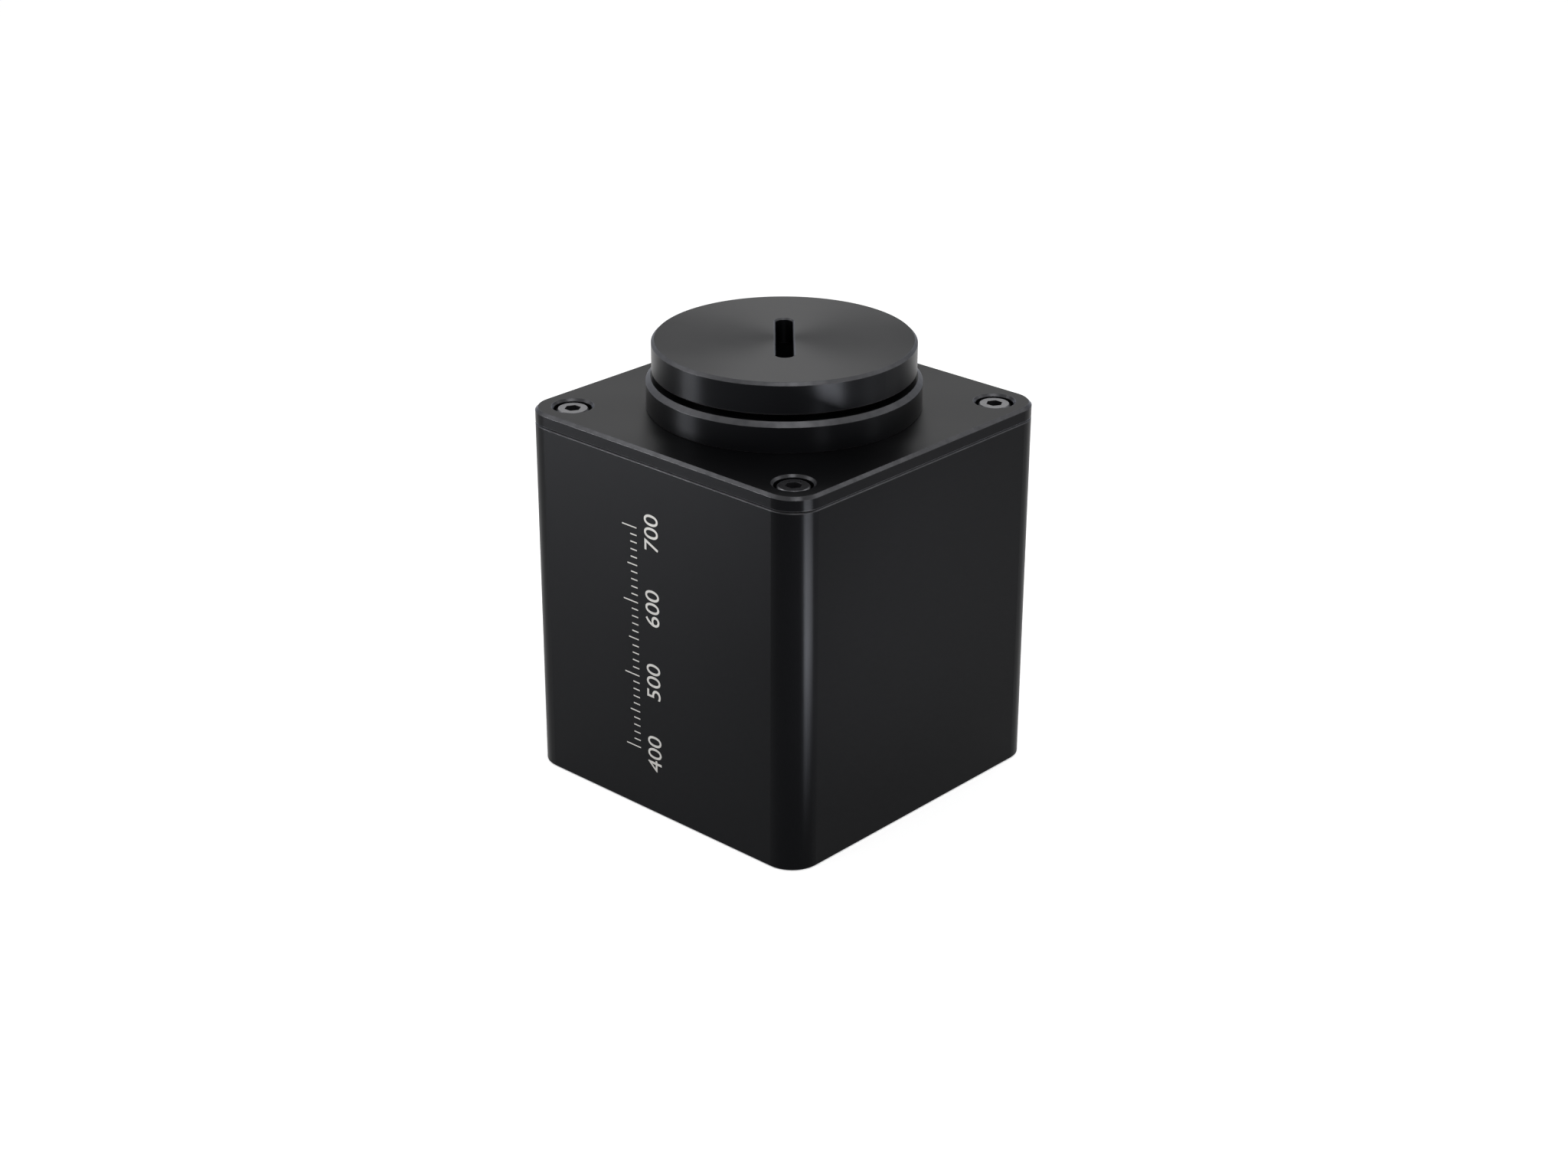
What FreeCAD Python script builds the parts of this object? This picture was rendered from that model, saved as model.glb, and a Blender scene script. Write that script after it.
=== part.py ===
"""Compact spectrometer for measuring light sources, as an assembly of separate pieces.

A square black housing with rounded corners carries a screwed lid. A collar on the lid holds a
diffuser, and a round cap with a light slot plugs into the collar, where it turns and lifts off.
Under the lid hangs an optical bench with a crossed mirror path: entrance slit, collimating mirror,
grating, focusing mirror and line sensor. The main board stands on the base plate, which holds a
tripod bush. Sizes are millimetres. The frame has +Z up, its origin at the middle of the underside,
and the front face looks along -Y.
"""

import math
import os

import FreeCAD
import Part

V = FreeCAD.Vector
X_AXIS = V(1, 0, 0)
Y_AXIS = V(0, 1, 0)
Z_AXIS = V(0, 0, 1)

# Fits shared by all pieces
slip_fit = 0.1  # gap all round a piece that drops into its seat
running_fit = 0.08  # radial gap between the cap's spigot and the collar
soft_fit = 0.05  # gap round the squeezed seal ring
thread_fit = 0.03  # radial gap between a screw and its tapped hole
edge_break = 0.2  # small chamfer on machined edges
overshoot = 1.0  # how far a cut runs past the surface that it opens

# Housing
side = 63.0
corner_radius = 5.4
wall = 2.5
rim_wall = 1.8  # wall left beside the recesses for the lid and the base plate
body_height = 64.4
column_overlap = 0.6  # how far the screw columns reach into the walls
column_inset = 6.1  # screw centre to each outer face

# Lid
gasket_thickness = 0.2
gasket_inset = 0.5
lid_rim = 2.4
lid_plug = 3.6
lid_chamfer = 0.5
collar_seat_depth = 3.0
light_hole_radius = 8.0

# Lid screws, socket cap M3
cap_screw_radius = 1.5
cap_screw_length = 10.0
cap_head_radius = 2.75
cap_head_height = 3.0
cap_socket_width = 2.5
cap_socket_depth = 1.5
cap_head_recess = 0.4
head_clearance = 0.5  # radial gap round the sunk heads
counterbore_chamfer = 0.4
screw_clearance = 0.2  # radial gap round the shanks

# Collar
collar_bore_radius = 18.5
collar_wall = 3.5  # from the bore to the outside of the spigot
collar_brim = 1.5  # how far the collar stands out past its spigot
collar_height = 5.3
collar_chamfer = 0.8
collar_bore_chamfer = 0.3
collar_foot_chamfer = 0.1
collar_screw_length = 6.5
collar_screw_count = 3
collar_screw_angle = 90.0  # direction of the first one, in degrees

# Diffuser and its clamp ring
diffuser_radius = 12.0
diffuser_flange = 1.5
diffuser_button_radius = 9.0
diffuser_button_height = 3.0
diffuser_edge_radius = 0.8
clamp_ring_gap = 1.5  # from the ring to the collar's bore
clamp_ring_thickness = 1.8
clamp_ring_chamfer = 0.5
clamp_screw_length = 4.2
clamp_screw_count = 3
clamp_screw_angle = 30.0  # direction of the first one, in degrees

# Cap with the light slot
cap_setback = 1.0  # the disc's edge inside the collar's outside
cap_thickness = 5.5
cap_chamfer = 0.5
cap_gap = 1.0  # shadow gap between cap and collar
cap_seat_width = 1.5  # ring of contact between cap and collar
cap_spigot_length = 4.6
cap_lead_in = 0.3  # chamfer at the spigot's end
cap_groove_wall = 2.1  # metal left inside the seal groove
cap_top_wall = 4.4
seat_gap = 0.05
slot_length = 20.0
slot_width = 3.0
slot_chamfer = 0.25
slot_angle = 133.0  # direction of the slot from +X, in degrees

# Seal ring in the cap's groove
seal_groove_depth = 1.3
seal_groove_width = 1.9
seal_width = 1.5
seal_corner = 0.45
seal_above_spigot_end = 2.4

# Base plate
base_thickness = 4.0
base_screw_length = 9.0
base_socket_width = 2.0
base_socket_depth = 1.2
base_screw_sink = 0.1  # the heads lie this far inside the plate
countersink_radius = 2.9
tripod_bush_radius = 5.0
tripod_bush_length = 7.0
tripod_bore_radius = 2.55
tripod_flange_radius = 6.5
tripod_flange_thickness = 1.2

# Main board
board_thickness = 1.6
board_edge_gap = 0.75
board_column_gap = 0.8
standoff_height = 5.0
standoff_width = 4.5
standoff_stud = 2.6
standoff_inset = 6.9  # from the screw columns towards the middle, along X and Y

# Packages on the main board
processor_width = 10.0
memory_width = 6.0
regulator_width = 4.0
processor_height = 1.4
memory_height = 1.6
regulator_height = 1.1
chip_pitch = 8.0

# Type C socket
usb_width = 8.94
usb_height = 3.26
usb_depth = 7.35
usb_shell = 0.3
usb_setback = 0.5
usb_opening_gap = 0.35
usb_mouth_chamfer = 0.4
usb_tongue_width = 6.7
usb_tongue_thickness = 0.7
usb_tongue_length = 4.4

# Optical bench
bench_side_gap = 7.0  # from the bench's sides to the housing's walls
bench_height = 42.0
bench_back_wall = 2.0
bench_wall = 2.5
bench_cavity_half = 7.0
bench_lip = 0.5
bench_flange_thickness = 3.0
bench_flange_width = 5.0
bench_screw_y = 5.0
bench_screw_cover = 0.7  # metal left between these screws' holes and the collar's seat
bench_post_radius = 2.2
bench_cover_thickness = 1.5
baffle_thickness = 1.0
baffle_height = 6.0
baffle_groove = 0.6  # depth of its groove in the bench's floor

# Entrance slit
slit_disc_radius = 5.9
slit_disc_thickness = 0.4
slit_ring_thickness = 0.6
slit_opening = 3.0
slit_width = 0.2
entrance_radius = 3.0

# Mirrors and grating
optic_width = 11.0
optic_depth = 12.0
mirror_thickness = 3.5
mirror_curve_radius = 60.0
grating_width = 10.0
grating_thickness = 4.0
mount_thickness = 3.5
grating_mount_thickness = 3.0
mirror_above_floor = 9.5
mirror_side_gap = 10.5  # mirror centre to the bench's side wall
grating_below_roof = 10.0
grating_side_gap = 8.5

# Line sensor and its board
sensor_length = 20.0
sensor_depth = 9.0
sensor_thickness = 2.4
sensor_window_length = 15.0
sensor_window_depth = 4.0
sensor_window_thickness = 0.5
sensor_recess_depth = 1.0  # from the package's face to the back of its window's seat
sensor_gap = 0.2
sensor_board_drop = 0.5  # the board's top below the bench screws' heads
sensor_board_half_depth = 8.0
sensor_board_thickness = 1.2
sensor_board_margin = 5.0
sensor_screw_margin = 2.5
ribbon_width = 8.0
ribbon_thickness = 0.2
ribbon_clearance = 0.4  # between the ribbon and the screw head it passes
ribbon_socket_height = 4.0
ribbon_socket_wall = 0.8

# Screws of every size
head_chamfer_share = 1 / 12  # of the head's height
tip_chamfer_share = 1 / 4  # of the thread's radius

# Small screws, M2 and M2.5
m2_radius = 1.0
m2_head_radius = 1.9
m2_head_height = 1.6
m25_radius = 1.25
m25_head_radius = 2.25
m25_head_height = 2.0
board_screw_length = 4.5
small_socket_depth = 0.9
m2_socket_width = 1.5
m25_socket_width = 2.0
mount_screw_length = 5.0
cover_screw_length = 5.0
sensor_screw_length = 3.2

# Heights that follow from the sizes above
z_seam = body_height
z_rim = z_seam + gasket_thickness
z_lid = z_rim + lid_rim
z_plug = z_rim - lid_plug
z_ledge = z_plug - slip_fit
z_floor = z_lid - collar_seat_depth
z_collar = z_lid + collar_height
z_cap = z_collar + cap_gap
z_top = z_cap + cap_thickness
z_board = base_thickness + standoff_height
z_board_top = z_board + board_thickness
z_usb = z_board_top + usb_height / 2
z_roof = z_plug - bench_flange_thickness
z_bench = z_plug - bench_height
z_bench_floor = z_bench + bench_wall
half = side / 2
screw_offset = half - column_inset
column_radius = column_inset - wall + column_overlap
clearance_hole_radius = cap_screw_radius + screw_clearance
counterbore_radius = cap_head_radius + head_clearance
collar_spigot_radius = collar_bore_radius + collar_wall
collar_radius = collar_spigot_radius + collar_brim
clamp_ring_radius = collar_bore_radius - clamp_ring_gap
clamp_screw_circle = (diffuser_radius + clamp_ring_radius) / 2
cap_radius = collar_radius - cap_setback
cap_neck_radius = collar_bore_radius + cap_seat_width
cap_spigot_radius = collar_bore_radius - running_fit
seal_groove_radius = cap_spigot_radius - seal_groove_depth
cap_cavity_radius = seal_groove_radius - cap_groove_wall
bench_back = bench_cavity_half + bench_back_wall
bench_front = -bench_cavity_half - bench_lip
standoff_offset = screw_offset - standoff_inset
bench_width = side - 2 * wall - 2 * bench_side_gap
bench_flange_reach = bench_width / 2 + bench_flange_width
bench_screw_x = bench_width / 2 + bench_flange_width / 2
bench_screw_length = z_floor - bench_screw_cover - slip_fit - z_roof
collar_screw_circle = (collar_bore_radius + collar_spigot_radius) / 2
cavity_half_width = bench_width / 2 - bench_wall
mirror_from_centre = cavity_half_width - mirror_side_gap
grating_from_centre = cavity_half_width - grating_side_gap


def only_solid(shape):
    """The single solid in a shape."""
    solids = shape.Solids
    assert len(solids) == 1, f"expected one solid, found {len(solids)}"
    return solids[0]


def cylinder(radius, z0, z1, x=0.0, y=0.0):
    return Part.makeCylinder(radius, z1 - z0, V(x, y, z0))


def box(x0, x1, y0, y1, z0, z1):
    return Part.makeBox(x1 - x0, y1 - y0, z1 - z0, V(x0, y0, z0))


def rounded_prism(width, radius, z0, z1):
    """A square prism about the Z axis with rounded upright edges."""
    reach = width / 2
    block = box(-reach, reach, -reach, reach, z0, z1)
    upright = [e for e in block.Edges if abs(e.tangentAt(e.FirstParameter).z) > 0.9]
    return block.makeFillet(radius, upright)


def edges_at(shape, z):
    """Edges of a shape that lie wholly in the plane at height z."""
    return [e for e in shape.Edges if all(abs(v.Z - z) < 1e-6 for v in e.Vertexes)]


def turned(profile):
    """A solid of revolution about Z from (radius, height) points."""
    points = [V(r, 0, z) for r, z in profile]
    face = Part.Face(Part.makePolygon(points + points[:1]))
    return face.revolve(V(0, 0, 0), Z_AXIS, 360)


def hexagon(width, z0, z1, x=0.0, y=0.0):
    """A hexagonal prism, width across its flats."""
    reach = width / math.sqrt(3)
    corners = [math.radians(60 * n) for n in range(7)]
    ring = [V(x + reach * math.cos(a), y + reach * math.sin(a), z0) for a in corners]
    return Part.Face(Part.makePolygon(ring)).extrude(V(0, 0, z1 - z0))


def stadium(length, width, z0, z1):
    """A prism with two straight sides along X and two round ends."""
    middle = length - width
    shape = box(-middle / 2, middle / 2, -width / 2, width / 2, z0, z1)
    for x in (-middle / 2, middle / 2):
        shape = shape.fuse(cylinder(width / 2, z0, z1, x))
    return shape.removeSplitter()


def slot_mouth(length, width, chamfer):
    """The chamfered mouth of a slot with round ends, its rim at height 0."""
    reach = (length - width) / 2
    radius = width / 2
    rim = radius + chamfer
    section = [(-radius, -chamfer), (radius, -chamfer), (rim, 0), (-rim, 0), (-radius, -chamfer)]
    outline = Part.makePolygon([V(-reach, y, z) for y, z in section])
    shape = Part.Face(outline).extrude(V(2 * reach, 0, 0))
    for x in (-reach, reach):
        shape = shape.fuse(Part.makeCone(radius, rim, chamfer, V(x, 0, -chamfer)))
    return shape.removeSplitter()


def moved(shape, x=0.0, y=0.0, z=0.0):
    copy = shape.copy()
    copy.translate(V(x, y, z))
    return copy


def turned_about(shape, axis, angle):
    copy = shape.copy()
    copy.rotate(V(0, 0, 0), axis, angle)
    return copy


def corner_points(offset_x, offset_y=None):
    """The four points at plus and minus the offsets."""
    offset_y = offset_x if offset_y is None else offset_y
    return [(sx * offset_x, sy * offset_y) for sx in (-1, 1) for sy in (-1, 1)]


def circle_points(radius, count, first):
    angles = [math.radians(first + 360 * n / count) for n in range(count)]
    return [(radius * math.cos(a), radius * math.sin(a)) for a in angles]


def socket_screw(radius, length, head_radius, head_height, socket_width, socket_depth):
    """A socket cap screw with its head's underside at height 0 and its shank along -Z."""
    head_edge = head_height * head_chamfer_share
    tip = radius * tip_chamfer_share
    body = turned([
        (0, -length), (radius - tip, -length), (radius, tip - length), (radius, 0),
        (head_radius, 0), (head_radius, head_height - head_edge),
        (head_radius - head_edge, head_height), (0, head_height),
    ])
    return body.cut(hexagon(socket_width, head_height - socket_depth, head_height))


def countersunk_screw(radius, length, head_radius, socket_width, socket_depth):
    """A countersunk screw with its head's flat top at height 0."""
    tip = radius * tip_chamfer_share
    cone = head_radius - radius
    body = turned([
        (0, -length), (radius - tip, -length), (radius, tip - length), (radius, -cone),
        (head_radius, 0), (0, 0),
    ])
    return body.cut(hexagon(socket_width, -socket_depth, 0))


def countersink(radius, head_radius, depth):
    """The cut that seats a countersunk screw, its mouth at height 0."""
    cone = head_radius - radius
    return turned([(0, -depth), (radius, -depth), (radius, -cone), (head_radius, 0), (0, 0)])


def small_screw(length, metric_25=False):
    """An M2 cap screw, or an M2.5 one."""
    if metric_25:
        return socket_screw(
            m25_radius, length, m25_head_radius, m25_head_height, m25_socket_width,
            small_socket_depth,
        )
    return socket_screw(
        m2_radius, length, m2_head_radius, m2_head_height, m2_socket_width, small_socket_depth
    )


def housing():
    """Square tube with a screw column in each corner and a recess at each end."""
    shape = rounded_prism(side, corner_radius, 0, z_seam)
    shape = shape.makeChamfer(edge_break, edges_at(shape, z_seam) + edges_at(shape, 0))
    shape = shape.cut(rounded_prism(side - 2 * wall, corner_radius - wall, 0, z_seam))
    columns = [cylinder(column_radius, 0, z_seam, x, y) for x, y in corner_points(screw_offset)]
    core = rounded_prism(side - wall, corner_radius - wall / 2, 0, z_seam)
    for column in columns:
        shape = shape.fuse(column.common(core))
    recess_width = side - 2 * rim_wall
    recess_radius = corner_radius - rim_wall
    shape = shape.cut(rounded_prism(recess_width, recess_radius, z_ledge, z_seam + overshoot))
    shape = shape.cut(rounded_prism(recess_width, recess_radius, -overshoot, base_thickness))
    for x, y in corner_points(screw_offset):
        shape = shape.cut(cylinder(cap_screw_radius + thread_fit, 0, z_seam, x, y))
    return only_solid(shape.cut(usb_opening()).removeSplitter())


def usb_opening():
    """The socket's cut through the rear wall, wider at its mouth."""
    height = usb_height + 2 * usb_opening_gap
    width = usb_width + 2 * usb_opening_gap
    hole = stadium(width, height, -wall - overshoot, 0)
    cut = turned_about(hole.fuse(slot_mouth(width, height, usb_mouth_chamfer)), X_AXIS, -90)
    return moved(cut, 0, half, z_usb)


def lid():
    """Rim plate with a plug that drops into the housing, stepped in the middle for the optics."""
    rim = rounded_prism(side, corner_radius, z_rim, z_lid)
    rim = rim.makeChamfer(lid_chamfer, edges_at(rim, z_lid))
    inset = rim_wall + slip_fit
    plug = rounded_prism(side - 2 * inset, corner_radius - inset, z_plug, z_rim)
    shape = rim.fuse(plug)
    shape = shape.cut(cylinder(collar_spigot_radius + soft_fit, z_floor, z_lid))
    flange_seat = z_floor - diffuser_flange
    shape = shape.cut(cylinder(diffuser_radius + slip_fit, flange_seat, z_floor))
    shape = shape.cut(cylinder(light_hole_radius, z_plug, flange_seat))
    head_seat = z_lid - cap_head_recess - cap_head_height
    mouth_radius = counterbore_radius + counterbore_chamfer
    low = z_plug - overshoot
    for x, y in corner_points(screw_offset):
        bore = turned([
            (0, low), (clearance_hole_radius, low), (clearance_hole_radius, head_seat),
            (counterbore_radius, head_seat), (counterbore_radius, z_lid - counterbore_chamfer),
            (mouth_radius, z_lid), (0, z_lid),
        ])
        shape = shape.cut(moved(bore, x, y))
    head_seat = collar_screw_seat()
    for x, y in collar_screw_points():
        shape = shape.cut(cylinder(m2_radius + slip_fit, z_plug, z_floor, x, y))
        shape = shape.cut(cylinder(m2_head_radius + slip_fit, z_plug, head_seat, x, y))
    for x, y in clamp_screw_points():
        tip = z_floor + clamp_ring_thickness - clamp_screw_length
        shape = shape.cut(cylinder(m2_radius + thread_fit, tip, z_floor, x, y))
    for x, y in corner_points(bench_screw_x, bench_screw_y):
        tip = z_roof + bench_screw_length + slip_fit
        shape = shape.cut(cylinder(m25_radius + thread_fit, z_plug, tip, x, y))
    return only_solid(shape.removeSplitter())


def lid_gasket():
    """Thin frame between the housing's rim and the lid, set back from the outside."""
    outer = rounded_prism(side - 2 * gasket_inset, corner_radius - gasket_inset, z_seam, z_rim)
    inner = rounded_prism(side - 2 * rim_wall, corner_radius - rim_wall, z_seam, z_rim)
    return only_solid(outer.cut(inner))


def lid_screws():
    screw = socket_screw(
        cap_screw_radius, cap_screw_length, cap_head_radius, cap_head_height,
        cap_socket_width, cap_socket_depth,
    )
    head_seat = z_lid - cap_head_recess - cap_head_height
    return [moved(screw, x, y, head_seat) for x, y in corner_points(screw_offset)]


def collar_screw_points():
    return circle_points(collar_screw_circle, collar_screw_count, collar_screw_angle)


def collar_screw_seat():
    """Height where the collar's screw heads bear, sunk in the lid's underside."""
    return z_plug + m2_head_height + slip_fit


def clamp_screw_points():
    return circle_points(clamp_screw_circle, clamp_screw_count, clamp_screw_angle)


def collar():
    """Chamfered ring on the lid, with a spigot in the lid's seat and a bore for the cap."""
    foot = collar_foot_chamfer
    spigot = collar_spigot_radius
    shape = turned([
        (collar_bore_radius, z_floor), (spigot, z_floor), (spigot, z_lid),
        (collar_radius - foot, z_lid), (collar_radius, z_lid + foot),
        (collar_radius, z_collar - collar_chamfer), (collar_radius - collar_chamfer, z_collar),
        (collar_bore_radius + collar_bore_chamfer, z_collar),
        (collar_bore_radius, z_collar - collar_bore_chamfer),
    ])
    tip = collar_screw_seat() + collar_screw_length + slip_fit
    for x, y in collar_screw_points():
        shape = shape.cut(cylinder(m2_radius + thread_fit, z_floor, tip, x, y))
    return only_solid(shape)


def collar_screws():
    """Cap screws from under the lid into the collar, their heads sunk in the lid's underside."""
    screw = turned_about(small_screw(collar_screw_length), X_AXIS, 180)
    return [moved(screw, x, y, collar_screw_seat()) for x, y in collar_screw_points()]


def diffuser():
    """White stepped disc: a flange in the lid's seat and a raised button with a soft edge."""
    flange = cylinder(diffuser_radius, z_floor - diffuser_flange, z_floor)
    button_top = z_floor + diffuser_button_height
    button = cylinder(diffuser_button_radius, z_floor - diffuser_flange, button_top)
    button = button.makeFillet(diffuser_edge_radius, edges_at(button, button_top))
    return only_solid(flange.fuse(button).removeSplitter())


def diffuser_ring():
    """Clamp ring over the diffuser's flange, countersunk for its screws."""
    bore = diffuser_button_radius + slip_fit
    top = z_floor + clamp_ring_thickness
    shape = turned([
        (bore, z_floor), (clamp_ring_radius, z_floor),
        (clamp_ring_radius, top - edge_break), (clamp_ring_radius - edge_break, top),
        (bore + clamp_ring_chamfer, top), (bore, top - clamp_ring_chamfer),
    ])
    seat = countersink(m2_radius + slip_fit, m2_head_radius + slip_fit, clamp_ring_thickness)
    for x, y in clamp_screw_points():
        shape = shape.cut(moved(seat, x, y, top))
    return only_solid(shape)


def ring_screws():
    screw = countersunk_screw(
        m2_radius, clamp_screw_length, m2_head_radius, m2_socket_width, small_socket_depth
    )
    top = z_floor + clamp_ring_thickness
    return [moved(screw, x, y, top) for x, y in clamp_screw_points()]


def aperture_cap():
    """Round cap: a disc over the shadow gap, a neck on the collar and a grooved hollow spigot."""
    spigot = cap_spigot_radius
    spigot_end = z_collar - cap_spigot_length
    groove_low = spigot_end + seal_above_spigot_end - seal_groove_width / 2
    groove_high = groove_low + seal_groove_width
    groove = seal_groove_radius
    seat = z_collar + seat_gap
    shape = turned([
        (cap_cavity_radius, spigot_end), (spigot - cap_lead_in, spigot_end),
        (spigot, spigot_end + cap_lead_in), (spigot, groove_low), (groove, groove_low),
        (groove, groove_high), (spigot, groove_high), (spigot, seat), (cap_neck_radius, seat),
        (cap_neck_radius, z_cap), (cap_radius - edge_break, z_cap),
        (cap_radius, z_cap + edge_break), (cap_radius, z_top - cap_chamfer),
        (cap_radius - cap_chamfer, z_top), (0, z_top), (0, z_top - cap_top_wall),
        (cap_cavity_radius, z_top - cap_top_wall),
    ])
    slot = stadium(slot_length, slot_width, -cap_top_wall - overshoot, 0)
    cut = slot.fuse(slot_mouth(slot_length, slot_width, slot_chamfer))
    return only_solid(shape.cut(moved(turned_about(cut, Z_AXIS, slot_angle), z=z_top)))


def cap_seal_ring():
    """Rubber ring in the spigot's groove, squeezed flat against the collar's bore."""
    inner = seal_groove_radius + soft_fit
    outer = collar_bore_radius - soft_fit
    middle = z_collar - cap_spigot_length + seal_above_spigot_end
    low = middle - seal_width / 2
    ring = cylinder(outer, low, low + seal_width).cut(cylinder(inner, low, low + seal_width))
    return only_solid(ring.makeFillet(seal_corner, edges_at(ring, low) + edges_at(ring, low + seal_width)))


def base_plate():
    """Plate that closes the housing's underside, flush with it."""
    inset = rim_wall + slip_fit
    shape = rounded_prism(side - 2 * inset, corner_radius - inset, 0, base_thickness)
    shape = shape.makeChamfer(edge_break, edges_at(shape, 0))
    seat = countersink(clearance_hole_radius, countersink_radius + slip_fit, base_thickness)
    mouth = cylinder(countersink_radius + slip_fit, 0, base_screw_sink)
    for x, y in corner_points(screw_offset):
        shape = shape.cut(moved(turned_about(seat, X_AXIS, 180), x, y, base_screw_sink))
        shape = shape.cut(moved(mouth, x, y))
    shape = shape.cut(cylinder(tripod_bush_radius + thread_fit, 0, base_thickness))
    for x, y in corner_points(standoff_offset):
        stud_seat = base_thickness - standoff_stud - slip_fit
        shape = shape.cut(cylinder(m25_radius + thread_fit, stud_seat, base_thickness, x, y))
    return only_solid(shape)


def base_screws():
    screw = countersunk_screw(
        cap_screw_radius, base_screw_length, countersink_radius, base_socket_width,
        base_socket_depth,
    )
    screw = turned_about(screw, X_AXIS, 180)
    return [moved(screw, x, y, base_screw_sink) for x, y in corner_points(screw_offset)]


def tripod_bush():
    """Flanged bush for a camera tripod screw, its thread shown as a plain bore."""
    bore = tripod_bore_radius
    flange_top = base_thickness + tripod_flange_thickness
    return only_solid(turned([
        (bore + edge_break, 0), (tripod_bush_radius, 0), (tripod_bush_radius, base_thickness),
        (tripod_flange_radius, base_thickness), (tripod_flange_radius, flange_top),
        (tripod_bush_radius, flange_top), (tripod_bush_radius, tripod_bush_length),
        (bore, tripod_bush_length), (bore, edge_break),
    ]))


def main_board():
    """Board over the base plate, notched round the screw columns."""
    reach = half - wall - board_edge_gap
    shape = box(-reach, reach, -reach, reach, z_board, z_board_top)
    for x, y in corner_points(screw_offset):
        notch = cylinder(column_radius + board_column_gap, z_board, z_board_top, x, y)
        far_x = math.copysign(half, x)
        far_y = math.copysign(half, y)
        outside = box(
            min(x, far_x), max(x, far_x), min(y, far_y), max(y, far_y), z_board, z_board_top
        )
        shape = shape.cut(notch.fuse(outside))
    for x, y in corner_points(standoff_offset):
        shape = shape.cut(cylinder(m25_radius + slip_fit, z_board, z_board_top, x, y))
    return only_solid(shape)


def board_chips():
    """Square packages on the main board, placed in whole and part pitches from its middle."""
    processor = (processor_width, processor_height)
    memory = (memory_width, memory_height)
    regulator = (regulator_width, regulator_height)
    places = [
        (processor, -0.75, 0.5), (memory, 1, 1), (memory, -1, -1.1), (regulator, 1, -0.5),
        (regulator, 0.25, -1.5), (regulator, -1.25, 1.5),
    ]
    chips = []
    for (width, height), column, row in places:
        x = column * chip_pitch
        y = row * chip_pitch
        reach = width / 2
        chips.append(box(x - reach, x + reach, y - reach, y + reach, z_board_top, z_board_top + height))
    return chips


def board_standoffs():
    """Hexagonal spacers with a stud in the base plate and a tapped top."""
    body = hexagon(standoff_width, base_thickness, z_board)
    stud = cylinder(m25_radius, base_thickness - standoff_stud, base_thickness)
    depth = board_screw_length - board_thickness + slip_fit
    tapped = cylinder(m25_radius + thread_fit, z_board - depth, z_board)
    standoff = only_solid(body.fuse(stud).cut(tapped))
    return [moved(standoff, x, y) for x, y in corner_points(standoff_offset)]


def board_screws():
    screw = small_screw(board_screw_length, metric_25=True)
    return [moved(screw, x, y, z_board_top) for x, y in corner_points(standoff_offset)]


def usb_shell_part():
    """Metal shell of the socket, closed at its rear."""
    outer = stadium(usb_width, usb_height, 0, usb_depth)
    inner = stadium(usb_width - 2 * usb_shell, usb_height - 2 * usb_shell, 0, usb_depth - usb_shell)
    shell = turned_about(outer.cut(inner), X_AXIS, 90)
    return only_solid(moved(shell, 0, half - usb_setback, z_usb))


def usb_tongue():
    """Contact tongue of the socket, standing on a block at the shell's rear."""
    rear = half - usb_setback - usb_depth + usb_shell
    block_depth = usb_depth - usb_shell - usb_tongue_length - usb_setback
    width = usb_width - 2 * usb_shell - 2 * soft_fit
    height = usb_height - 2 * usb_shell - 2 * soft_fit
    block = moved(turned_about(stadium(width, height, -block_depth, 0), X_AXIS, 90), 0, rear, z_usb)
    reach = usb_tongue_width / 2
    thick = usb_tongue_thickness / 2
    tip = rear + block_depth + usb_tongue_length
    tongue = box(-reach, reach, rear, tip, z_usb - thick, z_usb + thick)
    return only_solid(block.fuse(tongue).removeSplitter())


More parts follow.
